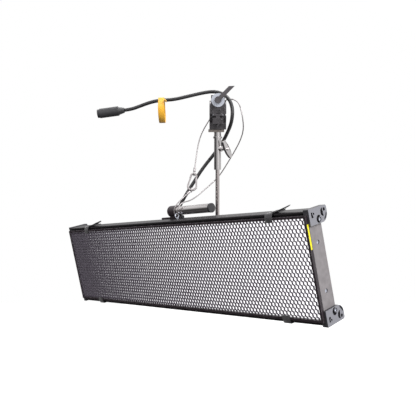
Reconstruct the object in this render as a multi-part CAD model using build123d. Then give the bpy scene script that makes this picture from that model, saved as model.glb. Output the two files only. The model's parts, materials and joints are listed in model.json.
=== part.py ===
"""LED strip batten with a honeycomb louver, hung from a pipe clamp.

Three frames are used.  The row frame has its origin on the pipe's axis at the
middle of the clamp, +X along the pipe and +Z up.  The hanger frame is the row
frame swung about the pipe.  The panel frame has x along the batten, y going
back from the louver's front face and z up the panel.
"""
from build123d import *
import math
import os

# ---- driving dimensions, millimetres and degrees ----
PIPE_R = 24.15              # 1 1/2 inch grid pipe, 48.3 outside diameter
SWING = 14.0                # the hanger's swing about the pipe
YAW = -47.1                 # the panel's turn about the vertical
TILT = 14.7                 # the panel's downward tilt
PIVOT_DROP = 370.4          # pipe axis to tilt pivot, along the rod
PIVOT_BACK = 184.0          # tilt pivot behind the louver's front face
PIVOT_UP = 2.0

LOUVER_L, LOUVER_H = 917.0, 217.0
LOUVER_RIM = 5.0
LOUVER_FLANGE = 6.0          # also how far the housing stands behind the louver front
CELL_FRONT, CELL_BACK = 1.2, 5.6       # front and back of the honeycomb
BODY_L, BODY_H = 902.0, 233.0
BODY_FRONT, BODY_BACK = 6.0, 47.0
BODY_WALL = 2.5
RAIL = 10.5                 # height of the top and bottom rails
END_CAP = 8.0
CAP_SCREW_Z = 50.0
CAP_SCREW_Y = 27.0
STRAP_X = (-362.0, 355.0)     # left edges of the louver straps
STRAP_W = 20.0
TAIL_LENGTHS = (54.0, 40.0)
TAIL_RISE = 11.0            # the loose tails' slope, degrees
BRACKET_X = (451.0, 464.0)
BRACKET_Y = (6.0, 66.0)
BRACKET_Z = (86.0, 119.0)
REAR_BOSS, SCREW_BOSS, FRONT_BOSS = (57.0, 110.5), (40.0, 93.5), (21.0, 108.0)     # y and z
BRACKET_CURVE = 19.0        # radius of a bracket's rear inner corner
LABEL_Z = (40.0, 91.0)

CLAMP_W = 44.0
CLAMP_R = 33.0
BOLT_Z = 33.0               # clamp bolt above the pipe's axis
JAW_PIN = (-36.0, -6.0)     # y and z of the jaw's hinge pin
SLOT_W = 13.0
BOLT_PIVOT_Y = 16.0         # y of the clamp bolt's hinge pin
PIN_R = 3.0                 # both hinge pins of the clamp
KNUCKLE_R = 4.5             # lugs round the jaw's pin
CLAMP_BOTTOM = -43.0
ROD_R = 5.5
ROD_FIT = 0.05
RECEIVER_R = 9.5
HANDLE_DROP = 95.0
HANDLE_TURN = -35.0
HANDLE_R = 4.0              # T-handle's screw
RECEIVER_Z = (-151.0, -67.0)

ARM_Y, ARM_Z = 55.0, 134.0
ARM_R = 11.0
ARM_NECK = (-8, 18)         # ends of the sleeve that grips the arm's tube
ARM_WALL = 1.6
ARM_SCREW_X, ARM_SCREW_Z = (-34, 24), 80.0
LOCK_Y, LOCK_Z, LOCK_R = 57.0, 117.0, 3.0      # the arm's lock screw
EYE_X, EYE_Y, EYE_Z = 29.0, 40.0, 123.5     # safety eye on the top rail
CORD_D = 9.5
WIRE_D = 3.2
COIL_X, COIL_Y, COIL_Z = -190.0, 59.5, 5.0
COIL_R, COIL_SECTION_R = 52.5, 10.0
CASE_END = -280.0           # driver case end that carries the lead's gland
CASE_X, CASE_BACK, CASE_Z = -442.0, 82.0, (-72.0, 8.0)
CASE_WALL = 2.0
PIVOT_R = 4.0
SLEEVE = 10.8               # crimped sleeve on each end of the wire

HANGER = Rot(SWING, 0, 0)
TURN = Rot(0, 0, YAW) * Rot(TILT, 0, 0)
pivot = (HANGER * Pos(0, 0, -PIVOT_DROP)).position
PANEL = Pos(*(pivot - (TURN * Pos(0, PIVOT_BACK, PIVOT_UP)).position)) * TURN

# ---- routes of the lead and the safety wire, row frame ----
LEAD_UPPER = [
    (-256, 42, 19), (-236, 41, 21.5), (-214, 34, 27.5), (-190, 22, 33), (-167, 10, 36), (-143, 4, 36.5),
    (-114, 0, 37.5), (-74, -1, 47), (-36, -1, 56), (-10, -3, 58.5), (13, -10, 51),
    (30, -23, 32), (37.5, -34, 8), (38, -36.5, -14), (34.5, -25, -36), (25, 9, -54),
    (12, 37, -75), (-5, 48, -97), (-22, 54, -117),
]
LEAD_LOWER = [
    (-22, 54, -117), (-39, 60, -137), (-66, 68, -178), (-89, 78, -214), (-104, 87, -240),
    (-117, 96, -271), (-136, 105, -302), (-162, 108, -331), (-180.5, 106, -360), (-182.4, 107.9, -388),
]
WIRE_UPPER = [
    (-60.5, -13, -150), (-58, -5, -127), (-54.5, 4, -98), (-49.5, 14, -70), (-40.5, 26, -43),
    (-28, 36, -19), (-13, 43.5, 7), (3, 45, 30), (20, 35, 45), (36, 14, 43),
    (46, -7, 34), (55, -24.5, 21.5), (60.5, -33, 1), (65.5, -31.5, -25), (68, -15, -50),
    (60, 5, -74), (47, 22, -97), (28, 41, -127), (9, 54, -156), (-6, 52, -174), (-22, 36, -190),
]
WIRE_LOWER = [
    (-22, 36, -190), (-38, 20, -206), (-57, -7, -226), (-74, -34, -239), (-87, -48.5, -243),
    (-98.6, -58, -252.7), (-104.6, -58.1, -265.3), (-104.6, -54.7, -272.4),
    (-101.9, -51, -277.5), (-108.2, -44.2, -277.5), (-111.7, -47, -272.4),
    (-112.6, -50.6, -264.4), (-106, -54, -250.3), (-93.3, -49, -235.6), (-80.2, -42.3, -222.6),
]

written = []


def node(name, frame, *solids):
    """Write one node, placed in the row frame."""
    placed = [frame * solid for solid in solids]
    shape = placed[0] if len(placed) == 1 else Compound(children=[Part() + s for s in placed])
    export_step(shape, f"parts/{name}.step")
    written.append(name)


def box(x, y, z):
    """A box from its limits along each axis."""
    size = [b - a for a, b in (x, y, z)]
    middle = [(a + b) / 2 for a, b in (x, y, z)]
    return Pos(*middle) * Box(*size)


def rod_x(radius, x0, x1, y=0.0, z=0.0):
    return Pos((x0 + x1) / 2, y, z) * Rot(0, 90, 0) * Cylinder(radius, x1 - x0)


def rod_y(radius, y0, y1, x=0.0, z=0.0):
    return Pos(x, (y0 + y1) / 2, z) * Rot(90, 0, 0) * Cylinder(radius, y1 - y0)


def rod_z(radius, z0, z1, x=0.0, y=0.0):
    return Pos(x, y, (z0 + z1) / 2) * Cylinder(radius, z1 - z0)


def hex_x(across, x0, x1, y=0.0, z=0.0):
    nut = RegularPolygon(across / 2, 6, major_radius=False)
    return Pos(x0, y, z) * extrude(Plane.YZ * nut, x1 - x0)


def along_x(sketch, x0, x1):
    """Extrude a y-z outline along x."""
    return Pos(x0, 0, 0) * extrude(Plane.YZ * sketch, x1 - x0)


def flexible(name, points, diameter):
    """A tube of straight runs joined by the largest tangent arcs that they allow."""
    places = [Vector(*p) for p in points]
    radii = []
    for before, here, after in zip(places, places[1:], places[2:]):
        run_in, run_out = here - before, after - here
        turn = math.radians(run_in.get_angle(run_out))
        radii.append(0.45 * min(run_in.length, run_out.length) / math.tan(turn / 2))
    path = FilletPolyline(*places, radius=radii)
    tube = sweep(Plane(origin=path @ 0, z_dir=path % 0) * Circle(diameter / 2), path=path)
    ratio = tube.volume / (path.length * math.pi * diameter ** 2 / 4)
    print(name, "length", round(path.length), "volume ratio", round(ratio, 4))
    print("  radii", [round(r) for r in radii])
    return tube


def housing():
    """Extruded trough: a back wall and two hollow rails with a groove in front."""
    y_mid = (BODY_FRONT + BODY_BACK) / 2
    outline = Pos(y_mid, 0) * RectangleRounded(BODY_BACK - BODY_FRONT, BODY_H, 2.5)
    cavity_back = BODY_BACK - BODY_WALL
    cavity = Pos(cavity_back / 2, 0) * Rectangle(cavity_back, BODY_H - 2 * RAIL)
    profile = outline - cavity
    for side in (-1, 1):
        rail_z = side * (BODY_H - RAIL) / 2
        profile -= Pos(27, rail_z) * Rectangle(26, RAIL - 5)
        profile -= Pos(BODY_FRONT + 2, rail_z - side) * Rectangle(6, 2.5)
    for row in range(-4, 5):
        profile -= Pos(BODY_BACK, row * 22) * Rectangle(1.6, 3)
    body = along_x(profile, -BODY_L / 2, BODY_L / 2)
    for x, z, radius in screw_places():
        body -= rod_y(radius, 40, 50, x, z)
    return body


def screw_places():
    """Where the mount plate's and the arm's screws enter the back wall: x, z and radius."""
    plate = [(x, PIVOT_UP + up, 3.0) for x in (-48, 48) for up in (-28, 28)]
    return plate + [(x, ARM_SCREW_Z, 2.5) for x in ARM_SCREW_X]


def louver_frame():
    opening_l, opening_h = LOUVER_L - 2 * LOUVER_RIM, LOUVER_H - 2 * LOUVER_RIM
    flange = Pos(0, LOUVER_FLANGE / 2, 0) * Box(LOUVER_L, LOUVER_FLANGE, LOUVER_H)
    skirt = Pos(0, 8.5, 0) * Box(LOUVER_L - 20, 5, LOUVER_H - 6)
    return flange + skirt - Box(opening_l, 40, opening_h)


def end_cap(side):
    x0, x1 = BODY_L / 2, BODY_L / 2 + END_CAP
    cap = box((x0, x1), (7, BODY_BACK), (-BRACKET_Z[0] + 0.5, BRACKET_Z[0] - 0.5))
    for up in (-1, 1):
        cap -= rod_x(4.6, x1 - 5, x1 + 1, CAP_SCREW_Y, up * CAP_SCREW_Z)
        cap -= rod_x(2.1, x0 - 1, x1, CAP_SCREW_Y, up * CAP_SCREW_Z)
    return mirrored(cap, side, 1)


def corner_bracket():
    """Moulded corner: three bosses and two pockets on its outer face, big lower back radius."""
    (x0, x1), (y0, y1), (z0, z1) = BRACKET_X, BRACKET_Y, BRACKET_Z
    outline = Polygon((y0, z0), (y1, z0), (y1, z1), (y0, z1), align=None)
    corner = outline.vertices().sort_by_distance((y1, z0, 0))[0]
    outline = fillet(corner, BRACKET_CURVE)
    corner = outline.vertices().sort_by_distance((y1, z1, 0))[0]
    outline = fillet(corner, 5)
    body = along_x(outline, x0, x1)
    ring = Pos(*REAR_BOSS) * Circle(6)
    screw = Pos(*SCREW_BOSS) * Circle(5)
    front = Pos(*FRONT_BOSS) * Circle(4)
    body -= rod_x(3.6, x0 + 2, x1, *REAR_BOSS)
    body -= rod_x(2.3, x0 + 2, x1, *FRONT_BOSS)
    body -= rod_x(4.0, x1 - 4, x1, *SCREW_BOSS)
    body -= rod_x(1.6, x0 - 1, x1, *SCREW_BOSS)
    crescent = Pos(52.5, 106.5) * Circle(8.5) - ring - Pos(61, 104) * Circle(9)
    pocket = Pos(36, 95) * Circle(8) - screw - Pos(47, 93) * Rectangle(12, 20)
    slot = Pos(16, 106) * Rectangle(6, 11) - front
    edge = Polygon((y0, z0), (y1, z0), (y1, z1), (y0, z1), align=None)
    edge = fillet(edge.vertices().sort_by_distance((y1, z0, 0))[0], BRACKET_CURVE)
    rim = offset(edge, -1.2) - offset(edge, -5)
    rim &= Pos(61, 95) * Rectangle(14, 15)
    for hollow in (crescent, pocket, slot, rim):
        body -= along_x(hollow, x1 - 5, x1)
    return body


def mirrored(shape, side, up):
    """A shape drawn at the right upper corner, moved to another corner."""
    if side < 0:
        shape = shape.mirror(Plane.YZ)
    if up < 0:
        shape = shape.mirror(Plane.XY)
    return shape


def ribbon(points, thickness, x0, x1):
    return along_x(trace(Polyline(*points), thickness), x0, x1)


def panel_nodes():
    half_h = BODY_H / 2
    node("housing", PANEL, housing())
    node("louver_frame", PANEL, louver_frame())
    core_x, core_z = LOUVER_L / 2 - LOUVER_RIM - 0.2, LOUVER_H / 2 - LOUVER_RIM - 0.2
    core = box((-core_x, core_x), (CELL_FRONT, CELL_BACK), (-core_z, core_z))
    node("louver_core", PANEL, core)
    sheet_x = BODY_L / 2 - 0.7
    diffuser = box((-sheet_x, sheet_x), (CELL_BACK + 0.3, CELL_BACK + 2.8), (-core_z, core_z))
    node("diffuser", PANEL, diffuser)
    node("heat_spreader", PANEL, box((-432, 432), (41.5, 44.5), (-100, 100)))
    boards = []
    chips = []
    for column in (-1, 1):
        for row in (-1, 1):
            x, z = column * 216, row * 50
            boards.append(Pos(x, 40.7, z) * Box(426, 1.6, 94))
            for strip in (-24, 24):
                for step in range(12):
                    chip_x = x - 192.5 + 35 * step
                    chips.append(Pos(chip_x, 39.4, z + strip) * Box(5, 1, 5))
    node("led_boards", PANEL, *boards)
    node("led_chips", PANEL, *chips)

    for side, word in ((-1, "left"), (1, "right")):
        node(f"end_cap_{word}", PANEL, end_cap(side))
    cap_screw = rod_x(3.6, 454.2, 457, CAP_SCREW_Y, CAP_SCREW_Z)
    cap_screw += rod_x(2.0, 440, 454.2, CAP_SCREW_Y, CAP_SCREW_Z)
    cap_screw -= rod_x(1.5, 455.5, 458, CAP_SCREW_Y, CAP_SCREW_Z)
    block = box((438, 450.9), (20, 44.5), (CAP_SCREW_Z - 8, CAP_SCREW_Z + 8))
    block -= rod_x(2.0, 439, 452, CAP_SCREW_Y, CAP_SCREW_Z)
    corners = [(side, up) for side in (-1, 1) for up in (-1, 1)]
    node("end_blocks", PANEL, *[mirrored(block, *c) for c in corners])
    bracket = corner_bracket()
    words = {-1: "left", 1: "right"}
    heights = {-1: "bottom", 1: "top"}
    for side, up in corners:
        node(f"bracket_{heights[up]}_{words[side]}", PANEL, mirrored(bracket, side, up))
    bracket_screw = rod_x(3.2, 460.2, 462.4, *SCREW_BOSS) - rod_x(1.2, 461.2, 463, *SCREW_BOSS)
    bracket_screw += rod_x(1.5, 451.2, 460.2, *SCREW_BOSS)
    node("end_screws", PANEL, *[mirrored(s, *c) for c in corners for s in (cap_screw, bracket_screw)])
    node("end_label", PANEL, box((LOUVER_L / 2, LOUVER_L / 2 + 0.4), (1, 5.6), LABEL_Z))

    strap = [(-0.8, 99), (-0.8, 109.5), (2.2, half_h + 1), (47.8, half_h + 1), (47.8, 84)]
    upper = [ribbon(strap, 1.2, x, x + STRAP_W) for x in STRAP_X]
    node("louver_straps", PANEL, *upper, *[s.mirror(Plane.XY) for s in upper])
    tails = []
    for x, length in zip(STRAP_X, TAIL_LENGTHS):
        lifted = Pos(x + STRAP_W, 0, half_h + 2) * Rot(0, -TAIL_RISE, 0)
        tails.append(lifted * box((0, length), (6, 24), (0, 1.2)))
    node("strap_tails", PANEL, *tails)


def driver_nodes():
    """Driver case on the back, with the lead's gland on its end."""
    gland_z = COIL_Z - COIL_R
    wall = CASE_WALL
    case = box((CASE_X, CASE_END), (BODY_BACK, CASE_BACK), CASE_Z)
    room = (CASE_Z[0] + wall, CASE_Z[1] - wall)
    case -= box((CASE_X + wall, CASE_END - wall), (BODY_BACK - 1, CASE_BACK - wall), room)
    case -= rod_x(6.0, CASE_END - wall - 1, CASE_END + 1, COIL_Y, gland_z)
    node("driver_case", PANEL, case)
    board = box((-436, CASE_END - 8), (52, 53.6), (-66, 2))
    for x in (-430, CASE_END - 14):
        for z in (-60, -4):
            board += rod_y(3, 47, 52.5, x, z)
    board += box((-425, -395), (53, 73), (-55, -15))
    board += box((-380, -345), (53, 70), (-60, -30))
    board += box((-330, -300), (53, 66), (-30, -8))
    node("driver_board", PANEL, board)
    hex_end = CASE_END + 6
    gland = rod_x(6.0, CASE_END - 6, CASE_END, COIL_Y, gland_z)
    gland += hex_x(19, CASE_END, hex_end, COIL_Y, gland_z)
    gland += Pos(hex_end + 7, COIL_Y, gland_z) * Rot(0, 90, 0) * Cone(9, 6.5, 14)
    node("lead_gland", PANEL, gland)
    relief = Pos(hex_end + 27, COIL_Y, gland_z) * Rot(0, 90, 0) * Cone(6.4, 5.2, 26)
    node("strain_relief", PANEL, relief)
    node("lead_tail", PANEL, rod_x(CORD_D / 2, hex_end + 40, COIL_X, COIL_Y, gland_z))
    ring = Pos(COIL_X, COIL_Y, COIL_Z) * Rot(90, 0, 0) * Torus(COIL_R, COIL_SECTION_R)
    node("lead_coil", PANEL, ring)
    hook_z = COIL_Z + COIL_R - COIL_SECTION_R - 4.4
    hook = rod_y(4, 47, 69.5, COIL_X, hook_z) + rod_y(9, 69.5, 72, COIL_X, hook_z)
    node("coil_hook", PANEL, hook)
    band = Pos(COIL_X - COIL_R, COIL_Y, COIL_Z) * (Cylinder(12, 16) - Cylinder(10.9, 20))
    node("coil_tie", PANEL, band)


def mount_nodes():
    """Plate, post and fork that carry the batten's tilt pivot."""
    y, z = PIVOT_BACK, PIVOT_UP
    plate = box((-60, 60), (47, 52), (z - 40, z + 40))
    screws = []
    for x, screw_z, radius in screw_places():
        plate -= rod_y(radius, 40, 53, x, screw_z)
        face = 52 if screw_z < ARM_SCREW_Z else 51
        head = rod_y(radius * 1.7, face, face + 4, x, screw_z)
        head += rod_y(radius, 44.5, face, x, screw_z)
        screws.append(head - rod_y(radius * 0.8, face + 2, face + 5, x, screw_z))
    node("mount_plate", PANEL, plate)
    node("back_screws", PANEL, *screws)
    post = box((-14, 14), (52, 160), (z - 10, z + 10)) - box((-11, 11), (51, 158), (z - 7, z + 7))
    node("mount_post", PANEL, post)
    fork = box((-16, 16), (160, y - 14.1), (z - 10, z + 10))
    for side in (-1, 1):
        inner, outer = sorted((side * 10.1, side * 16))
        cheek = box((inner, outer), (y - 15, y), (z - 10, z + 10)) + rod_x(12, inner, outer, y, z)
        fork += cheek
    fork -= rod_x(PIVOT_R, -20, 20, y, z)
    node("mount_fork", PANEL, fork)
    bolt = rod_x(PIVOT_R - ROD_FIT, -16, 30, y, z) + hex_x(13, -22, -16, y, z)
    node("pivot_bolt", PANEL, bolt)
    knob = rod_x(9, 16.1, 22, y, z)
    grip = RegularPolygon(14, 6) + Circle(12.5)
    knob += Pos(22, y, z) * extrude(Plane.YZ * grip, 14)
    node("tilt_knob", PANEL, knob - rod_x(PIVOT_R, 10, 31, y, z))
    knuckle = Pos(0, y, z) * Sphere(13) & box((-10, 10), (150, 220), (-30, 40))
    knuckle -= rod_x(PIVOT_R, -20, 20, y, z)
    knuckle = PANEL * knuckle - HANGER * rod_z(ROD_R, -PIVOT_DROP + 8, -300)
    node("rod_knuckle", Location(), knuckle)


def arm_nodes():
    """Side arm on the top edge, with its tube, cap, lock knob and the safety eye."""
    bracket = box((-44, 30), (47, 51), (62, 120))
    neck = box(ARM_NECK, (47, 66), (96, 128))
    bracket += neck + rod_x(14.5, *ARM_NECK, ARM_Y, ARM_Z)
    bracket -= rod_x(ARM_R + ROD_FIT, -10, 20, ARM_Y, ARM_Z)
    bracket -= rod_x(LOCK_R + ROD_FIT, -10, 20, LOCK_Y, LOCK_Z)
    for x in ARM_SCREW_X:
        bracket -= rod_y(2.5, 40, 55, x, ARM_SCREW_Z)
    node("arm_bracket", PANEL, bracket)
    tube = rod_x(ARM_R, -12, 141, ARM_Y, ARM_Z) - rod_x(ARM_R - ARM_WALL, -13, 142, ARM_Y, ARM_Z)
    node("arm_tube", PANEL, tube)
    cap = rod_x(ARM_R + 0.6, 141, 146, ARM_Y, ARM_Z) + rod_x(ARM_R - ARM_WALL, 129, 141, ARM_Y, ARM_Z)
    node("arm_cap", PANEL, cap)
    head = ARM_NECK[1] + 0.1
    knob = rod_x(LOCK_R, -6, head, LOCK_Y, LOCK_Z) + rod_x(5, head, 31, LOCK_Y, LOCK_Z)
    node("arm_lock", PANEL, knob)
    eye = Pos(EYE_X, EYE_Y, EYE_Z) * Rot(0, 90, 0) * Torus(5.5, 1.3)
    stem = rod_z(3, BODY_H / 2, EYE_Z - 5, EYE_X, EYE_Y)
    node("safety_eye", PANEL, eye + stem)


def hanger_nodes():
    """Receiver tube under the clamp, its T-handle screw and the hanger rod."""
    low, high = RECEIVER_Z
    bore = rod_z(ROD_R + ROD_FIT, low, high - 3)
    aim = Rot(0, 0, HANDLE_TURN)
    drill = Pos(0, 0, -HANDLE_DROP) * aim * rod_x(HANDLE_R, 2, 40)
    tube = rod_z(RECEIVER_R, low, high) - bore - drill
    node("receiver_tube", HANGER, tube)
    boss = Pos(0, 0, -HANDLE_DROP) * aim * rod_x(7, 6, 14.5)
    node("receiver_boss", HANGER, boss - rod_z(RECEIVER_R, -160, -60) - drill)
    node("collar", HANGER, rod_z(RECEIVER_R + 0.2, -62, -50) + rod_z(12, high, -62))
    screw = rod_x(HANDLE_R - ROD_FIT, ROD_R + 0.1, 36)
    half = [(4.5, 30), (9, 9), (9, -9), (4.5, -30)]
    outline = Polygon(*half, *[(-y, z) for y, z in reversed(half)], align=None)
    wing = Pos(33, 0, 0) * extrude(Plane.YZ * fillet(outline.vertices(), 3), 6.5)
    wing = wing.rotate(Axis.X, 40)
    screw += wing + rod_x(6.5, 28, 33)
    node("t_handle", HANGER, Pos(0, 0, -HANDLE_DROP) * aim * screw)
    node("hanger_rod", HANGER, rod_z(ROD_R, -PIVOT_DROP + 8, high - 7))


def ring_sector(outer, start, stop, half_width):
    """Part of a ring about the pipe, from one angle to another, measured from +Y to +Z."""
    reach = 3 * outer
    steps = [start + (stop - start) * i / 6 for i in range(7)]
    rays = [(reach * math.cos(math.radians(a)), reach * math.sin(math.radians(a))) for a in steps]
    wedge = Polygon((0, 0), *rays, align=None)
    return along_x(Circle(outer) & wedge, -half_width, half_width)


def clamp_nodes():
    """Half-coupler clamp: body, hinged jaw, swing bolt with its lever nut, pins and washer."""
    half = CLAMP_W / 2
    pin_y, pin_z = JAW_PIN
    hinge = (BOLT_PIVOT_Y, BOLT_Z)
    pipe = rod_x(PIPE_R, -60, 60)
    slot = box((-SLOT_W / 2, SLOT_W / 2), (-70, 70), (BOLT_Z - 6, 70))
    body = ring_sector(CLAMP_R, -166, 82, half)
    body += box((-half, half), (-22, 22), (CLAMP_BOTTOM, -22))
    for side in (-1, 1):
        cheek = sorted((side * SLOT_W / 2, side * 15))
        body += box(cheek, (6, 24), (18, 42))
    body += box((-14, 14), (pin_y - KNUCKLE_R, -20), (-28, -12)) + rod_x(KNUCKLE_R, -4.9, 4.9, pin_y, pin_z)
    body += box((-4.9, 4.9), (pin_y - KNUCKLE_R, -25), (-14, pin_z))
    rib = Pos(4, pin_y - 2.5, -26) * Rot(0, 35, 0) * Box(4, 6, 22)
    body += rib & box((-half, half), (-50, -20), (CLAMP_BOTTOM, -12))
    body -= pipe + slot
    body -= rod_x(PIN_R + ROD_FIT, -20, 20, *hinge) + rod_x(PIN_R, -20, 20, pin_y, pin_z)
    body -= rod_x(9.2, -SLOT_W / 2, SLOT_W / 2, *hinge)
    for side in (-1, 1):
        body -= rod_x(4.8, *sorted((side * 4.95, side * 13.2)), pin_y, pin_z)
    node("clamp_body", HANGER, body)

    jaw = ring_sector(CLAMP_R, 98, 184, half)
    jaw += box((-18, 18), (-34, -25), (6, 46))
    for side in (-1, 1):
        lug = sorted((side * 5.1, side * 13))
        jaw += box(lug, (pin_y, -27), (pin_z, 10)) + rod_x(KNUCKLE_R, *lug, pin_y, pin_z)
    jaw -= pipe + slot
    jaw -= box((-SLOT_W / 2, SLOT_W / 2), (-70, 5), (BOLT_Z - 8.5, 70))
    jaw -= box((-SLOT_W / 2, SLOT_W / 2), (-25, 5), (18, 70))
    jaw -= rod_x(PIN_R + ROD_FIT, -20, 20, pin_y, pin_z)
    clearance = box((-5.1, 5.1), (-45, -23), (-30, pin_z + 5.2))
    clearance += box((-20, 20), (-40, -20), (-20, -10.8))
    node("clamp_jaw", HANGER, jaw - clearance)
    bolt = rod_x(8.5, -5.8, 5.8, *hinge) + rod_y(5, -56, 12, 0, BOLT_Z)
    node("clamp_bolt", HANGER, bolt - rod_x(PIN_R + ROD_FIT, -20, 20, *hinge))
    pins = (rod_x(PIN_R, -13.5, 13.5, pin_y, pin_z), rod_x(PIN_R + ROD_FIT, -16.5, 16.5, *hinge))
    node("clamp_pins", HANGER, *pins)
    washer = rod_y(17.5, -36.6, -34.05, 0, BOLT_Z) - rod_y(5.1, -40, -30, 0, BOLT_Z)
    node("clamp_washer", HANGER, washer)
    hub = rod_y(8.8, -60, -36.7, 0, BOLT_Z)
    outline = Polygon((-5, -5.3), (55.5, -5.3), (44, 5.3), (-5, 5.3), align=None)
    lever = Pos(0, -47, 0) * extrude(Plane.XZ * outline, 6)
    lever = Pos(0, 0, BOLT_Z) * Rot(0, -45, 0) * lever
    node("clamp_lever", HANGER, hub + lever - rod_y(5.08, -57.5, -30, 0, BOLT_Z))
    node("base_plate", HANGER, box((-25, 17), (-20, 20), (-50, CLAMP_BOTTOM)))


def wire_end(route):
    """A plane on the wire's cut end, looking out along the wire."""
    end, before = Vector(*route[0]), Vector(*route[1])
    return Plane(origin=end, z_dir=end - before)


def wire_eye(route):
    """Centre of the wire's end eye, just past its crimped sleeve."""
    return wire_end(route).from_local_coords(Vector(0, 0, SLEEVE + 6.7))


def carabiner_nodes(top, bottom):
    """Pear-shaped carabiner: its long axis runs from one wire eye to the other."""
    down = (bottom - top).normalized()
    face = Plane(origin=top, x_dir=down.cross(Vector(0, 1, 0)), z_dir=down.cross(Vector(1, 0, 0)))
    small, large, bar = 7.0, 11.0, 2.2
    far = (bottom - top).length - large

    def pear(grow):
        upper, lower = Pos(0, -small) * Circle(small + grow), Pos(0, -far) * Circle(large + grow)
        return make_hull(upper.edges() + lower.edges())

    ring = extrude(pear(bar) - pear(-bar), bar, both=True)
    gate_place = Pos(-(small + large) / 2, -(small + far) / 2, 0) * Rot(0, 0, -13)
    ring -= gate_place * Box(7, 15.4, 8)
    node("carabiner", face.location, ring)
    gate = Pos(0, 0.6, 0) * Box(3.4, 12.6, 3.6) + Pos(0, -5.7, 0) * Cylinder(1.8, 3.6)
    node("carabiner_gate", face.location, gate_place * gate)
    print("carabiner", top, bottom, face.z_dir)


def safety_nodes():
    node("wire_upper", Location(), flexible("wire_upper", WIRE_UPPER, WIRE_D))
    node("wire_lower", Location(), flexible("wire_lower", WIRE_LOWER, WIRE_D))
    ends = (WIRE_UPPER, WIRE_LOWER[::-1])
    sleeves = [wire_end(r) * Pos(0, 0, SLEEVE / 2) * Cylinder(WIRE_D, SLEEVE) for r in ends]
    node("wire_ferrules", Location(), *sleeves)
    top, bottom = (wire_eye(r) for r in ends)
    eyes = [Pos(*center) * Rot(0, 90, 0) * Torus(5, 1.5) for center in (top, bottom)]
    node("wire_eyes", Location(), *eyes)
    carabiner_nodes(top, bottom)


def lead_nodes():
    node("lead_upper", Location(), flexible("lead_upper", LEAD_UPPER, CORD_D))
    node("lead_lower", Location(), flexible("lead_lower", LEAD_LOWER, CORD_D))
    start = Vector(*LEAD_UPPER[0])
    aim = (start - Vector(*LEAD_UPPER[1])).normalized()
    axis = Plane(origin=start, z_dir=aim)
    plug = axis * (Pos(0, 0, 8) * Cone(7, 11, 16) + Pos(0, 0, 42) * Cylinder(13, 52))
    plug += axis * (Pos(0, 0, 71) * Cylinder(11.5, 6))
    node("lead_connector", Location(), plug)
    tie_x = LEAD_UPPER[5][0] - 6
    lead = Pos(6, 36.2)
    band = make_hull(Circle(PIPE_R + 2).edges() + (lead * Circle(8)).edges())
    band -= make_hull(Circle(PIPE_R + 0.8).edges() + (lead * Circle(6.8)).edges())
    node("pipe_tie", Location(), along_x(band, tie_x - 8, tie_x + 8))


def main():
    os.makedirs("parts", exist_ok=True)
    panel_nodes()
    driver_nodes()
    mount_nodes()
    arm_nodes()
    hanger_nodes()
    clamp_nodes()
    safety_nodes()
    lead_nodes()
    print(len(written), "nodes")


main()
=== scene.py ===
"""LED strip batten with a honeycomb louver, hung from a pipe clamp.

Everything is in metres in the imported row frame: the origin is on the pipe's axis at the clamp,
+X along the pipe and +Z up.  The panel frame has x along the batten, y going back from the
louver's front face and z up the panel.
"""
import bmesh
import bpy
import json
import math
from mathutils import Matrix, Vector


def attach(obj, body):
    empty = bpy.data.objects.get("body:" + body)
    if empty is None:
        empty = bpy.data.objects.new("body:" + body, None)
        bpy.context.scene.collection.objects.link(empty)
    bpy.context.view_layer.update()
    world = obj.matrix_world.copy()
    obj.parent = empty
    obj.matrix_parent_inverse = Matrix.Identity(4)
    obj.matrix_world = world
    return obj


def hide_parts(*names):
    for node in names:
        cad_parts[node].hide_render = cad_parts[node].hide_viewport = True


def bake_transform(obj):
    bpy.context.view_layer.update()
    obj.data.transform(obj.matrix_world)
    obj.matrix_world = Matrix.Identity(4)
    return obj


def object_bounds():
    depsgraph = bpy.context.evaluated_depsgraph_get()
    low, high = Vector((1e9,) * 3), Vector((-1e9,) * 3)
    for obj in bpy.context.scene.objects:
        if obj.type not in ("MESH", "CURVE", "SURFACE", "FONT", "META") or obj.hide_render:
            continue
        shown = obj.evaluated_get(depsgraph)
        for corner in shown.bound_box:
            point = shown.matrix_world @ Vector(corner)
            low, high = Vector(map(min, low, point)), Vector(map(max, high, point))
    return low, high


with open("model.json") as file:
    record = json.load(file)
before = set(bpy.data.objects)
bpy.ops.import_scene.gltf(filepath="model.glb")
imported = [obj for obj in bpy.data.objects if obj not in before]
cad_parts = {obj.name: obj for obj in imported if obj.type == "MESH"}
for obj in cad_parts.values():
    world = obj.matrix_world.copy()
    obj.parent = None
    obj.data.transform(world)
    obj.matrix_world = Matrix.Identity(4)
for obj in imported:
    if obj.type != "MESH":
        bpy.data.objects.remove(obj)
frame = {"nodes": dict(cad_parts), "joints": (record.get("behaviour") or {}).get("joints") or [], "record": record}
cad_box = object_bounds()
nodes = frame["nodes"]
joints = {joint["name"]: joint for joint in frame["joints"]}

# ---- the panel's frame, from its turn, its tilt and the tilt joint's place ----
YAW, TILT = math.radians(-47.1), math.radians(14.7)
PIVOT_IN_PANEL = Vector((0, 0.184, 0.002))
turn = Matrix.Rotation(YAW, 4, "Z") @ Matrix.Rotation(TILT, 4, "X")
panel = Matrix.Translation(Vector(joints["tilt"]["pos_m"]) - turn @ PIVOT_IN_PANEL) @ turn
row = Matrix.Identity(4)

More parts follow.
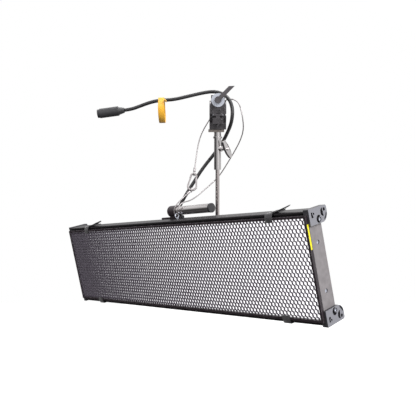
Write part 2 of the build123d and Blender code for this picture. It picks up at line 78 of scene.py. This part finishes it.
# ---- sizes shared with the CAD model ----
CORD_D, WIRE_D = 0.0095, 0.0032
CELL_PITCH, CELL_WALL = 0.009525, 0.0003
CELL_FRONT, CELL_BACK = 0.0005, 0.0058
LOUVER_ROWS = 13                        # rows of cells above and below the middle
LOUVER_REACH, LOUVER_TOP = 0.4530, 0.1083
STRAPS = (("left", -0.362, 0.054), ("right", 0.355, 0.040))     # left edge, length of the tail
STRAP_W, STRAP_T, TAIL_T = 0.020, 0.0014, 0.0012
HOUSING_BACK = 0.047
COIL = Vector((-0.190, 0.0595, 0.005))
COIL_R = 0.0525
COIL_TURNS = 3.25
TURN_OFFSET = 0.0049                    # half the spacing of the coil's turns
RISE_FROM, RISE_TO = 285, 350           # degrees of a turn in which it moves over to the next
RELIEF_END = Vector((-0.234, 0.0595, -0.0475))
HALF_H = 0.1165                         # half the housing's height
BATTEN_END = 0.464                      # panel x of the corner brackets' outer face
PIPE_R = 0.02415
TIE_X, TIE_W, TIE_T = -0.149, 0.0165, 0.0013
LEAD_OVER_PIPE = Vector((0.0055, 0.0362))      # y and z of the lead where the tie holds it

LEAD_UPPER = [
    (-0.256, 0.042, 0.019), (-0.236, 0.041, 0.0215), (-0.214, 0.034, 0.0275),
    (-0.190, 0.022, 0.033), (-0.167, 0.010, 0.036), (-0.143, 0.004, 0.0365),
    (-0.114, 0.0, 0.0375), (-0.074, -0.001, 0.047), (-0.036, -0.001, 0.056),
    (-0.010, -0.003, 0.0585), (0.013, -0.010, 0.051), (0.030, -0.023, 0.032),
    (0.0375, -0.034, 0.008), (0.038, -0.0365, -0.014), (0.0345, -0.025, -0.036),
    (0.025, 0.009, -0.054), (0.012, 0.037, -0.075), (-0.005, 0.048, -0.097),
    (-0.022, 0.054, -0.117),
]
LEAD_LOWER = [
    (-0.022, 0.054, -0.117), (-0.039, 0.060, -0.137), (-0.066, 0.068, -0.178),
    (-0.089, 0.078, -0.214), (-0.104, 0.087, -0.240), (-0.117, 0.096, -0.271),
    (-0.136, 0.105, -0.302), (-0.162, 0.108, -0.331), (-0.1805, 0.106, -0.360),
    (-0.1824, 0.1079, -0.388),
]
WIRE_UPPER = [
    (-0.0605, -0.013, -0.150), (-0.058, -0.005, -0.127), (-0.0545, 0.004, -0.098),
    (-0.0495, 0.014, -0.070), (-0.0405, 0.026, -0.043), (-0.028, 0.036, -0.019),
    (-0.013, 0.0435, 0.007), (0.003, 0.045, 0.030), (0.020, 0.035, 0.045),
    (0.036, 0.014, 0.043), (0.046, -0.007, 0.034), (0.055, -0.0245, 0.0215),
    (0.0605, -0.033, 0.001), (0.0655, -0.0315, -0.025), (0.068, -0.015, -0.050),
    (0.060, 0.005, -0.074), (0.047, 0.022, -0.097), (0.028, 0.041, -0.127),
    (0.009, 0.054, -0.156), (-0.006, 0.052, -0.174), (-0.022, 0.036, -0.190),
]
WIRE_LOWER = [
    (-0.022, 0.036, -0.190), (-0.038, 0.020, -0.206), (-0.057, -0.007, -0.226),
    (-0.074, -0.034, -0.239), (-0.087, -0.0485, -0.243), (-0.0986, -0.058, -0.2527),
    (-0.1046, -0.0581, -0.2653), (-0.1046, -0.0547, -0.2724), (-0.1019, -0.051, -0.2775),
    (-0.1082, -0.0442, -0.2775), (-0.1117, -0.047, -0.2724), (-0.1126, -0.0506, -0.2644),
    (-0.106, -0.054, -0.2503), (-0.0933, -0.049, -0.2356), (-0.0802, -0.0423, -0.2226),
]


def smoothstep(t):
    t = min(max(t, 0.0), 1.0)
    return t * t * (3 - 2 * t)


# ---- camera ----
def add_camera():
    data = bpy.data.cameras.new("camera")
    data.lens, data.sensor_width = 48.5, 36.0
    camera = bpy.data.objects.new("camera", data)
    camera.location = (-0.0259, -1.470, -0.3804)
    camera.rotation_euler = (math.radians(94.9), 0, 0)
    bpy.context.scene.collection.objects.link(camera)
    bpy.context.scene.camera = camera


# ---- mesh helpers ----
def mesh_piece(name, verts, faces, place=row, smooth=True, uvs=None):
    """A closed mesh object from its points and faces; uvs holds one pair for each point."""
    data = bpy.data.meshes.new(name)
    data.from_pydata([tuple(v) for v in verts], [], faces)
    if uvs:
        layer = data.uv_layers.new(name="along")
        for loop in data.loops:
            layer.data[loop.index].uv = uvs[loop.vertex_index]
    shell = bmesh.new()
    shell.from_mesh(data)
    bmesh.ops.recalc_face_normals(shell, faces=shell.faces)
    shell.to_mesh(data)
    shell.free()
    for polygon in data.polygons:
        polygon.use_smooth = smooth
    piece = bpy.data.objects.new(name, data)
    bpy.context.scene.collection.objects.link(piece)
    piece.matrix_world = place
    return piece


def rings_to_faces(count, sides, closed=False):
    """Quads between neighbouring rings of points, with a cap at each end unless it is closed."""
    faces = []
    for i in range(count if closed else count - 1):
        a, b = i * sides, ((i + 1) % count) * sides
        for k in range(sides):
            after = (k + 1) % sides
            faces.append((a + k, a + after, b + after, b + k))
    if not closed:
        faces.append(tuple(range(sides)))
        faces.append(tuple(range((count - 1) * sides, count * sides)))
    return faces


def centreline(route, resolution=10):
    """The smooth line of a cord: a NURBS spline with the route as its control points."""
    data = bpy.data.curves.new("route", "CURVE")
    data.dimensions = "3D"
    spline = data.splines.new("NURBS")
    spline.points.add(len(route) - 1)
    for point, place in zip(spline.points, route):
        point.co = (*place, 1)
    spline.order_u = 3
    spline.use_endpoint_u = True
    spline.resolution_u = resolution
    holder = bpy.data.objects.new("route", data)
    line = bpy.data.meshes.new_from_object(holder)
    path = [vertex.co.copy() for vertex in line.vertices]
    bpy.data.objects.remove(holder)
    bpy.data.meshes.remove(line)
    bpy.data.curves.remove(data)
    return path


def tube(name, path, radius, sides=18, strands=0, lay=0.02):
    """A round cord along a path; strands twist round it once in each lay length.

    A cord without strands keeps its full radius; between strands the surface dips by groove.
    """
    groove = 0.18
    verts, uvs = [], []
    tangent = (path[1] - path[0]).normalized()
    side = tangent.orthogonal().normalized()
    along = 0.0
    for i, here in enumerate(path):
        ahead = (path[min(i + 1, len(path) - 1)] - path[max(i - 1, 0)]).normalized()
        side = tangent.rotation_difference(ahead) @ side
        tangent = ahead
        up = tangent.cross(side)
        along += (here - path[i - 1]).length if i else 0.0
        for k in range(sides):
            angle = math.tau * k / sides
            crown = abs(math.cos(strands / 2 * (angle + math.tau * along / lay))) if strands else 1.0
            reach = radius * (1 - groove + groove * crown)
            verts.append(here + side * reach * math.cos(angle) + up * reach * math.sin(angle))
            uvs.append((radius * angle, along))
    return mesh_piece(name, verts, rings_to_faces(len(path), sides), uvs=uvs)


def ribbon(name, path, across, width, thickness, place=row, closed=False, taper=0.0):
    """A flat strap along a path, with softened edges; taper is the length of a narrowing tip."""
    tip = 0.15
    across = Vector(across).normalized()
    count = len(path)
    lengths = [0.0]
    for before, here in zip(path, path[1:]):
        lengths.append(lengths[-1] + (here - before).length)
    verts, uvs = [], []
    edge = thickness * 0.35
    for i, here in enumerate(path):
        if closed:
            ahead = path[(i + 1) % count] - path[i - 1]
        else:
            ahead = path[min(i + 1, count - 1)] - path[max(i - 1, 0)]
        out = ahead.normalized().cross(across).normalized()
        left = lengths[-1] - lengths[i]
        half = width / 2 * (min(1.0, tip + (1 - tip) * left / taper) if taper else 1.0)
        half_t = thickness / 2
        outline = [
            (half, half_t - edge), (half - edge, half_t), (-half + edge, half_t),
            (-half, half_t - edge), (-half, edge - half_t), (-half + edge, -half_t),
            (half - edge, -half_t), (half, edge - half_t),
        ]
        for sideways, outward in outline:
            verts.append(here + across * sideways + out * outward)
            uvs.append((sideways, lengths[i]))
    return mesh_piece(name, verts, rings_to_faces(count, 8, closed), place, True, uvs)


def belt(centre_a, radius_a, centre_b, radius_b, steps=24):
    """Points in a plane round two circles, as a tight belt lies."""
    gap = centre_b - centre_a
    facing = math.atan2(gap.y, gap.x)
    lean = math.acos((radius_a - radius_b) / gap.length)
    points = []
    for i in range(steps + 1):
        angle = facing + lean + (math.tau - 2 * lean) * i / steps
        points.append(centre_a + radius_a * Vector((math.cos(angle), math.sin(angle))))
    for i in range(steps + 1):
        angle = facing - lean + 2 * lean * i / steps
        points.append(centre_b + radius_b * Vector((math.cos(angle), math.sin(angle))))
    return points


# ---- materials ----
WAVES_PER_UNIT = math.tau / 20          # wave texture scale that gives one band in each unit


def new_material(name):
    material = bpy.data.materials.new(name)
    material.use_nodes = True
    tree = material.node_tree
    return material, tree, tree.nodes["Principled BSDF"]


def add_node(tree, kind, **inputs):
    made = tree.nodes.new(kind)
    for key, value in inputs.items():
        made.inputs[key.replace("_", " ")].default_value = value
    return made


def mixed(tree, factor, low, high):
    """A colour between low and high, by a factor socket."""
    mix = tree.nodes.new("ShaderNodeMix")
    mix.data_type = "RGBA"
    tree.links.new(factor, mix.inputs["Factor"])
    for socket, value in ((mix.inputs[6], low), (mix.inputs[7], high)):
        if isinstance(value, bpy.types.NodeSocket):
            tree.links.new(value, socket)
        else:
            socket.default_value = (*value, 1)
    return mix.outputs[2]


def ranged(tree, value, low, high, new_low, new_high):
    """A value socket carried from one range to another, and held inside the new one."""
    made = add_node(tree, "ShaderNodeMapRange", From_Min=low, From_Max=high,
                    To_Min=new_low, To_Max=new_high)
    tree.links.new(value, made.inputs["Value"])
    return made.outputs["Result"]


def edge_mask(tree, radius):
    """The rounded normal, and how well it agrees with the true one: less than 1 near an edge."""
    rounded = add_node(tree, "ShaderNodeBevel", Radius=radius)
    rounded.samples = 4
    true = tree.nodes.new("ShaderNodeNewGeometry")
    dot = tree.nodes.new("ShaderNodeVectorMath")
    dot.operation = "DOT_PRODUCT"
    tree.links.new(rounded.outputs["Normal"], dot.inputs[0])
    tree.links.new(true.outputs["Normal"], dot.inputs[1])
    return rounded.outputs["Normal"], dot.outputs["Value"]


def at_panel_end(tree, place):
    """1 on the outermost half millimetre of the batten's two ends, 0 elsewhere."""
    along = tree.nodes.new("ShaderNodeVectorMath")
    along.operation = "DOT_PRODUCT"
    tree.links.new(place, along.inputs[0])
    along.inputs[1].default_value = panel.col[0].to_3d()
    shifted = add_node(tree, "ShaderNodeMath")
    shifted.operation = "SUBTRACT"
    shifted.inputs[1].default_value = panel.translation.dot(panel.col[0].to_3d())
    tree.links.new(along.outputs["Value"], shifted.inputs[0])
    far = tree.nodes.new("ShaderNodeMath")
    far.operation = "ABSOLUTE"
    tree.links.new(shifted.outputs["Value"], far.inputs[0])
    return ranged(tree, far.outputs["Value"], BATTEN_END - 0.0006, BATTEN_END - 0.0004, 0, 1)


def surface(name, colour, roughness, metallic=0.0, grain=900.0, relief=0.15, tone=0.15,
            rubbed_lit_edge_colour=None, rubbed_lit_edge_amount=0.5, stretch=(1, 1, 1), edge=0.0006, lit_end_colour=None):
    """Paint, plastic or metal: mottled colour, fine grain, uneven gloss and rounded edges that are lighter, partly
    as rubbed wear and partly as a painted edge highlight.

    The end colour argument is a second colour for what stands at the batten's very ends: a painted highlight that
    makes those outer faces look lit.
    """
    material, tree, shader = new_material(name)
    place = tree.nodes.new("ShaderNodeTexCoord")
    mapping = add_node(tree, "ShaderNodeMapping", Scale=stretch)
    tree.links.new(place.outputs["Object"], mapping.inputs["Vector"])
    fine = add_node(tree, "ShaderNodeTexNoise", Scale=grain, Detail=3.0)
    broad = add_node(tree, "ShaderNodeTexNoise", Scale=grain / 14, Detail=4.0)
    for noise in (fine, broad):
        tree.links.new(mapping.outputs["Vector"], noise.inputs["Vector"])
    dark = [c * (1 - tone) for c in colour]
    light = [min(1.0, c * (1 + tone)) for c in colour]
    tint = mixed(tree, ranged(tree, broad.outputs["Fac"], 0.3, 0.7, 0, 1), dark, light)
    # Painted highlight: what stands at the batten's very ends takes a lighter colour, as if lit.
    if lit_end_colour:
        tint = mixed(tree, at_panel_end(tree, place.outputs["Object"]), tint, lit_end_colour)
    normal, facing = edge_mask(tree, edge)
    # Edges lighten in random spots: partly rubbed wear, partly a painted edge highlight.
    if rubbed_lit_edge_colour:
        rubbed_lit_edge_mask = ranged(tree, facing, 0.97, 0.80, 0.0, rubbed_lit_edge_amount)
        spots = ranged(tree, broad.outputs["Fac"], 0.42, 0.60, 0.25, 1.0)
        both = tree.nodes.new("ShaderNodeMath")
        both.operation = "MULTIPLY"
        tree.links.new(rubbed_lit_edge_mask, both.inputs[0])
        tree.links.new(spots, both.inputs[1])
        tint = mixed(tree, both.outputs["Value"], tint, rubbed_lit_edge_colour)
    tree.links.new(tint, shader.inputs["Base Color"])
    gloss = ranged(tree, fine.outputs["Fac"], 0.3, 0.7, roughness * 0.85, min(1.0, roughness * 1.15))
    tree.links.new(gloss, shader.inputs["Roughness"])
    bump = add_node(tree, "ShaderNodeBump", Strength=relief, Distance=0.0002)
    tree.links.new(fine.outputs["Fac"], bump.inputs["Height"])
    tree.links.new(normal, bump.inputs["Normal"])
    tree.links.new(bump.outputs["Normal"], shader.inputs["Normal"])
    shader.inputs["Metallic"].default_value = metallic
    return material


def webbing(name, colour, thread=0.0011, relief=0.6):
    """Woven strap: ribs across and along, by the strap's own length and width."""
    material, tree, shader = new_material(name)
    place = tree.nodes.new("ShaderNodeUVMap")
    heights = []
    for axis, spacing in (("X", thread), ("Y", thread * 1.3)):
        wave = add_node(tree, "ShaderNodeTexWave", Scale=WAVES_PER_UNIT / spacing, Distortion=0.4)
        wave.bands_direction = axis
        wave.inputs["Detail"].default_value = 1.0
        tree.links.new(place.outputs["UV"], wave.inputs["Vector"])
        heights.append(wave.outputs["Fac"])
    knit = tree.nodes.new("ShaderNodeMath")
    knit.operation = "MULTIPLY"
    tree.links.new(heights[0], knit.inputs[0])
    tree.links.new(heights[1], knit.inputs[1])
    fuzz = add_node(tree, "ShaderNodeTexNoise", Scale=1500.0, Detail=3.0)
    tree.links.new(place.outputs["UV"], fuzz.inputs["Vector"])
    low = [c * 0.55 for c in colour]
    high = [min(1.0, c * 1.15) for c in colour]
    woven = mixed(tree, knit.outputs["Value"], low, high)
    faded = mixed(tree, ranged(tree, fuzz.outputs["Fac"], 0.4, 0.8, 0, 0.35), woven, high)
    tree.links.new(faded, shader.inputs["Base Color"])
    bump = add_node(tree, "ShaderNodeBump", Strength=relief, Distance=0.0004)
    tree.links.new(knit.outputs["Value"], bump.inputs["Height"])
    tree.links.new(bump.outputs["Normal"], shader.inputs["Normal"])
    shader.inputs["Roughness"].default_value = 0.85
    shader.inputs["Sheen Weight"].default_value = 0.3
    return material


def lit_opal(name):
    """Opal diffuser sheet, lit from behind, with a faint broad unevenness."""
    material, tree, shader = new_material(name)
    place = tree.nodes.new("ShaderNodeTexCoord")
    cloud = add_node(tree, "ShaderNodeTexNoise", Scale=9.0, Detail=2.0)
    tree.links.new(place.outputs["Object"], cloud.inputs["Vector"])
    glow = mixed(tree, cloud.outputs["Fac"], (0.93, 0.92, 0.97), (1.0, 1.0, 1.0))
    tree.links.new(glow, shader.inputs["Base Color"])
    tree.links.new(glow, shader.inputs["Emission Color"])
    shader.inputs["Emission Strength"].default_value = 1.1
    shader.inputs["Roughness"].default_value = 0.5
    return material


STEEL_WORN = (0.75, 0.74, 0.73)
finishes = {
    # The clamp's lighter edges are partly rubbed wear and partly a painted highlight.
    "clamp_black": surface("cast_black", (0.070, 0.065, 0.070), 0.32, 0.5, 1400, 0.35, 0.3,
                           (0.55, 0.54, 0.55), 0.8),
    "lever_grey": surface("lever_grey", (0.085, 0.078, 0.085), 0.4, 0.3, 1400, 0.2, 0.2,
                          (0.4, 0.39, 0.39), 0.5),
    "zinc": surface("zinc_plate", (0.70, 0.73, 0.82), 0.30, 0.7, 700, 0.12, 0.1, STEEL_WORN, 0.3),
    "taupe_plate": surface("taupe_plate", (0.20, 0.175, 0.16), 0.45, 0.5, 900, 0.2, 0.15,
                           (0.5, 0.47, 0.45), 0.4),
    "chrome": surface("polished_metal", (0.74, 0.71, 0.71), 0.12, 1.0, 500, 0.05, 0.06,
                      STEEL_WORN, 0.2, (1, 1, 0.2)),
    "rod_steel": surface("drawn_rod", (0.66, 0.60, 0.59), 0.24, 1.0, 900, 0.08, 0.1,
                         STEEL_WORN, 0.3, (1, 1, 0.05)),
    "lead_rubber": surface("lead_rubber", (0.022, 0.021, 0.023), 0.42, 0.0, 1600, 0.15, 0.25),
    "black_plastic": surface("black_plastic", (0.028, 0.028, 0.031), 0.5, 0.0, 1500, 0.3, 0.2,
                             (0.16, 0.16, 0.17), 0.4),
    "wire": surface("wire_rope", (0.36, 0.335, 0.34), 0.38, 0.8, 1500, 0.2, 0.15),
    "housing_black": surface("black_anodised", (0.034, 0.031, 0.034), 0.36, 0.6, 1100, 0.1, 0.2,
                             (0.30, 0.29, 0.30), 0.3, (0.05, 1, 1)),
    # The brackets' outer end faces get a painted highlight: a lighter grey than the rest of the bracket.
    "bracket_plastic": surface("moulded_bracket", (0.045, 0.043, 0.049), 0.45, 0.0, 1300, 0.35, 0.18,
                               (0.40, 0.40, 0.43), 0.4, lit_end_colour=(0.21, 0.21, 0.235)),
    "end_cap_grey": surface("end_plate", (0.235, 0.218, 0.225), 0.5, 0.2, 1200, 0.25, 0.12,
                            (0.6, 0.59, 0.59), 0.5),
    # The frame's grey edge colour is a painted highlight along its rim, not wear.
    "frame_black": surface("frame_black", (0.030, 0.022, 0.027), 0.34, 0.0, 1300, 0.2, 0.2,
                           (0.42, 0.40, 0.43), 0.9, edge=0.0009),
    "louver_black": surface("louver_black", (0.062, 0.050, 0.068), 0.42, 0.0, 2500, 0.15, 0.2,
                            edge=0.0002),
    "opal": lit_opal("lit_opal"),
    "strap_fabric": webbing("strap_webbing", (0.045, 0.041, 0.046)),
    "yellow_strap": webbing("tie_webbing", (0.92, 0.46, 0.02), 0.0014, 0.5),
    "label_yellow": surface("label_yellow", (0.90, 0.80, 0.02), 0.3, 0.0, 700, 0.05, 0.06),
    "aluminium": surface("mill_aluminium", (0.72, 0.72, 0.73), 0.4, 1.0, 900, 0.15, 0.08,
                         STEEL_WORN, 0.3, (0.1, 1, 1)),
    "board": surface("solder_mask", (0.80, 0.81, 0.80), 0.35, 0.0, 900, 0.05, 0.05),
    "led": surface("phosphor", (0.90, 0.78, 0.28), 0.3, 0.0, 2000, 0.1, 0.1),
    "case_black": surface("case_powder_coat", (0.035, 0.035, 0.037), 0.5, 0.0, 1500, 0.5, 0.2,
                          (0.2, 0.2, 0.2), 0.5),
    "driver_green": surface("driver_board", (0.04, 0.24, 0.09), 0.35, 0.0, 900, 0.1, 0.15),
}


def paint_cad():
    """Every CAD node takes the finish of its material slot in the record."""
    special = {"clamp_lever": "lever_grey"}
    for part in frame["record"]["subparts"]:
        name = part["node"]
        material = finishes[special.get(name, part["material_slot"])]
        for slot in nodes[name].material_slots:
            slot.material = material


def dress(piece, slot):
    """Give a new piece the finish of one of the record's material slots."""
    piece.data.materials.append(finishes[slot])
    return piece


# ---- cords ----
def lead_route():
    """From the strain relief, round the coil and up to where the lead's two pieces meet."""
    steps = 16
    corner_r = COIL_R / math.cos(math.pi / steps)
    points = [RELIEF_END + Vector(step) for step in
              ((0, 0, 0), (0.015, -0.002, -0.003), (0.030, -0.004, -0.004))]
    for i in range(1, round(COIL_TURNS * steps) - 1):
        wound = 360 * i / steps
        lap, within = divmod(wound, 360)
        quarter = lap + smoothstep((within - RISE_FROM) / (RISE_TO - RISE_FROM))
        bundle = math.radians(225 - 90 * quarter)
        reach = corner_r + TURN_OFFSET * math.sqrt(2) * math.cos(bundle)
        back = TURN_OFFSET * math.sqrt(2) * math.sin(bundle)
        angle = math.radians(wound)
        points.append(COIL + Vector((reach * math.sin(angle), back, -reach * math.cos(angle))))
    return [panel @ p for p in points] + [Vector(p) for p in reversed(LEAD_LOWER)]


def add_cords():
    lower_path = centreline(lead_route())
    lower = dress(tube("lead_lower_cord", lower_path, CORD_D / 2), "lead_rubber")
    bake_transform(lower)
    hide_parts("lead_lower", "lead_coil", "lead_tail")
    tie = coil_tie()

    upper_path = centreline(LEAD_UPPER[::-1])
    upper = dress(tube("lead_upper_cord", upper_path, CORD_D / 2), "lead_rubber")
    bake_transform(upper)
    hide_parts("lead_upper")
    pipe_strap, strap_loop = pipe_tie()

    wires = (
        ("safety_wire_upper", WIRE_UPPER, "wire_upper", 0.57, ("root", "rod"),
         (0, 0, -0.060), (0, 0, -0.145), ["wire_ferrules", "wire_eyes"]),
        ("safety_wire_lower", WIRE_LOWER[::-1], "wire_lower", 0.24, ("rod", "panel"),
         (-0.09, -0.05, -0.228), (-0.09, -0.05, -0.270), ["carabiner", "carabiner_gate"]),
    )
    for name, route, node, length, pair, start, end, pieces in wires:
        path = centreline(route, 24)
        wire = dress(tube(name, path, WIRE_D / 2, 30, strands=6), "wire")
        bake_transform(wire)
        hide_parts(node)


def coil_tie():
    """Strap round the coil's bundle of turns, at its left side; woven, though its slot is plastic."""
    clearance, width = 0.0009, 0.016
    half, bend = TURN_OFFSET + CORD_D / 2 + clearance, 0.0052
    middle = COIL - Vector((COIL_R, 0, 0))
    path = []
    for quadrant, (sx, sy) in enumerate(((1, 1), (-1, 1), (-1, -1), (1, -1))):
        centre = middle + Vector((sx * (half - bend), sy * (half - bend), 0))
        for i in range(7):
            angle = math.radians(90 * quadrant + 15 * i)
            path.append(centre + bend * Vector((math.cos(angle), math.sin(angle), 0)))
    strap = ribbon("coil_tie_strap", path, (0, 0, 1), width, TIE_T, panel, closed=True)
    tie = dress(strap, "black_plastic")
    tie.data.materials[0] = finishes["strap_fabric"]
    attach(tie, "panel")
    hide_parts("coil_tie")
    return tie


def pipe_tie():
    """Woven tie round the pipe and the lead, a little slanted, with a folded loop at its side."""
    outline = belt(Vector((0, 0)), PIPE_R + 0.0014, LEAD_OVER_PIPE, CORD_D / 2 + 0.0024)
    slant = 0.05
    path = [Vector((TIE_X - slant * p.y, p.x, p.y)) for p in outline]
    band = ribbon("pipe_tie_strap", path, (1, 0, 0.02), TIE_W, TIE_T, closed=True)
    strap = dress(band, "yellow_strap")
    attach(strap, "root")
    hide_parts("pipe_tie")
    loop, steps = [], 14
    middle = Vector((TIE_X + 0.009, -0.020, 0.026))
    for i in range(steps + 1):
        angle = math.radians(200 - 220 * i / steps)
        loop.append(middle + Vector((0.0035 * math.cos(angle), 0.001 * i / steps,
                                     0.0055 * math.sin(angle))))
    fold = dress(ribbon("pipe_tie_loop", loop, (0, 1, 0.4), 0.010, TIE_T), "yellow_strap")
    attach(fold, "root")
    return strap, fold


# ---- honeycomb louver ----
def honeycomb():
    """Thin-walled hexagonal cells in one closed mesh; neighbours share their walls."""
    row_step = CELL_PITCH * math.sqrt(3) / 2
    outer_r, inner_r = CELL_PITCH / math.sqrt(3), (CELL_PITCH - CELL_WALL) / math.sqrt(3)
    corners = [math.radians(30 + 60 * k) for k in range(6)]
    verts, faces, shared, used = [], [], {}, {}

    def shared_pair(x, z):
        key = (round(x * 1e5), round(z * 1e5))
        if key not in shared:
            shared[key] = len(verts)
            verts.extend([(x, CELL_FRONT, z), (x, CELL_BACK, z)])
        return shared[key]

    for level in range(-LOUVER_ROWS, LOUVER_ROWS):
        offset = CELL_PITCH / 2 if level % 2 else 0.0
        columns = int((LOUVER_REACH - offset) / CELL_PITCH)
        for column in range(-columns - (1 if offset else 0), columns + 1):
            x, z = column * CELL_PITCH + offset, (level + 0.5) * row_step
            outer = []
            for a in corners:
                level_z = min(max(z + outer_r * math.sin(a), -LOUVER_TOP), LOUVER_TOP)
                outer.append(shared_pair(x + outer_r * math.cos(a), level_z))
            inner = []
            for a in corners:
                inner.append(len(verts))
                hole_x, hole_z = x + inner_r * math.cos(a), z + inner_r * math.sin(a)
                verts.extend([(hole_x, CELL_FRONT, hole_z), (hole_x, CELL_BACK, hole_z)])
            for k in range(6):
                after = (k + 1) % 6
                faces.append((outer[k], outer[after], inner[after], inner[k]))
                faces.append((outer[k] + 1, inner[k] + 1, inner[after] + 1, outer[after] + 1))
                faces.append((inner[k], inner[after], inner[after] + 1, inner[k] + 1))
                rim = tuple(sorted((outer[k], outer[after])))
                used[rim] = used.get(rim, 0) + 1
    faces += [(a, b, b + 1, a + 1) for (a, b), count in used.items() if count == 1]
    louver = dress(mesh_piece("honeycomb_louver", verts, faces, panel, smooth=False), "louver_black")
    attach(louver, "panel")
    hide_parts("louver_core")


# ---- straps on the batten ----
def rounded_path(corners, bend, steps=5):
    """Points along straight runs with their corners rounded."""
    places = [Vector(c) for c in corners]
    path = [places[0]]
    for before, here, after in zip(places, places[1:], places[2:]):
        back = (before - here).normalized()
        onward = (after - here).normalized()
        start, end = here + back * bend, here + onward * bend
        for i in range(steps + 1):
            t = i / steps
            path.append(start.lerp(here, t).lerp(here.lerp(end, t), t))
    path.append(places[-1])
    return path


def straps():
    """Hook-and-loop straps that hold the louver on, with loose pointed tails on the top edge."""
    shown = []
    overlap = 0.004
    front, back, above = -0.0008, HOUSING_BACK + 0.0008, HALF_H + 0.001
    profile = ((front, 0.099), (front, 0.1095), (0.0030, above), (back, above), (back, 0.084))
    for side, left, tail_length in STRAPS:
        for edge, up in (("top", 1), ("bottom", -1)):
            corners = [(left + STRAP_W / 2, y, up * z) for y, z in profile]
            path = rounded_path(corners, 0.0022)
            name = f"louver_strap_{edge}_{side}"
            shown.append(dress(ribbon(name, path, (1, 0, 0), STRAP_W, STRAP_T, panel), "strap_fabric"))
        for layer, (share, rise) in enumerate(((1.0, 0.0115), (0.72, 0.0045))):
            path, steps = [], 12
            for i in range(steps + 1):
                t = i / steps
                lift = rise * t * (0.55 + 0.45 * t)
                along = left + STRAP_W - overlap + (tail_length + overlap) * share * t
                path.append(Vector((along, 0.015, HALF_H + 0.0026 + lift)))
            name = f"strap_tail_{side}_{layer + 1}"
            tail = ribbon(name, path, (0, 1, 0), STRAP_W, TAIL_T, panel, taper=0.014)
            shown.append(dress(tail, "strap_fabric"))
    for piece in shown:
        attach(piece, "panel")
    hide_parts("louver_straps")
    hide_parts("strap_tails")


# ---- light and floor ----
def area_light(name, place, aim, size, power, colour=(1, 1, 1)):
    data = bpy.data.lights.new(name, "AREA")
    data.shape = "RECTANGLE"
    data.size, data.size_y = size
    data.energy = power
    data.color = colour
    light = bpy.data.objects.new(name, data)
    light.location = place
    light.rotation_euler = (Vector(aim) - Vector(place)).to_track_quat("-Z", "Y").to_euler()
    bpy.context.scene.collection.objects.link(light)


def added(tree, first, second):
    total = tree.nodes.new("ShaderNodeMath")
    total.operation = "ADD"
    tree.links.new(first, total.inputs[0])
    tree.links.new(second, total.inputs[1])
    return total.outputs["Value"]


def add_floor():
    """Pale paper a metre under the part, which neither lights it nor shows in its metal."""
    half, drop = 12.0, 1.0
    corners = [(-half, -half, 0), (half, -half, 0), (half, half, 0), (-half, half, 0)]
    data = bpy.data.meshes.new("floor")
    data.from_pydata(corners, [], [(0, 1, 2, 3)])
    floor = bpy.data.objects.new("floor", data)
    floor.location = (0, 0, cad_box[0].z - drop)
    bpy.context.scene.collection.objects.link(floor)
    data.materials.append(surface("floor_paper", (0.92, 0.92, 0.92), 0.9, 0.0, 40, 0.02, 0.02))
    floor.visible_glossy = False
    floor.visible_diffuse = False
    paper = data.materials[0].node_tree.nodes["Principled BSDF"]
    paper.inputs["Emission Color"].default_value = (1, 1, 1, 1)
    paper.inputs["Emission Strength"].default_value = 0.35


def add_lights():
    middle = (cad_box[0] + cad_box[1]) / 2
    area_light("key", (1.5, -2.2, 1.3), middle, (1.3, 1.6), 70)
    area_light("fill", (-2.2, -1.8, 0.5), middle, (1.2, 1.2), 24)
    area_light("top", (0.0, 0.3, 2.0), middle, (1.6, 1.0), 40)


def add_world():
    """Light by direction: bright above, to the right and from the front; the camera sees white."""
    world = bpy.data.worlds.new("studio")
    world.use_nodes = True
    tree = world.node_tree
    background = tree.nodes["Background"]
    background.inputs["Color"].default_value = (1, 1, 1, 1)
    sky = tree.nodes.new("ShaderNodeTexCoord")
    axes = tree.nodes.new("ShaderNodeSeparateXYZ")
    tree.links.new(sky.outputs["Generated"], axes.inputs["Vector"])
    upward = ranged(tree, axes.outputs["Z"], -0.05, 0.5, 0.05, 0.80)
    rightward = ranged(tree, axes.outputs["X"], -0.1, 0.5, 0.0, 0.55)
    frontward = ranged(tree, axes.outputs["Y"], -0.5, -0.95, 0.0, 0.45)
    glow = added(tree, upward, added(tree, rightward, frontward))
    rays = tree.nodes.new("ShaderNodeLightPath")
    seen = tree.nodes.new("ShaderNodeMath")
    seen.operation = "MAXIMUM"
    tree.links.new(glow, seen.inputs[0])
    tree.links.new(rays.outputs["Is Camera Ray"], seen.inputs[1])
    tree.links.new(seen.outputs["Value"], background.inputs["Strength"])
    bpy.context.scene.world = world
    bpy.context.scene.view_settings.view_transform = "Standard"


add_camera()
add_cords()
honeycomb()
straps()
paint_cad()
add_floor()
add_lights()
add_world()
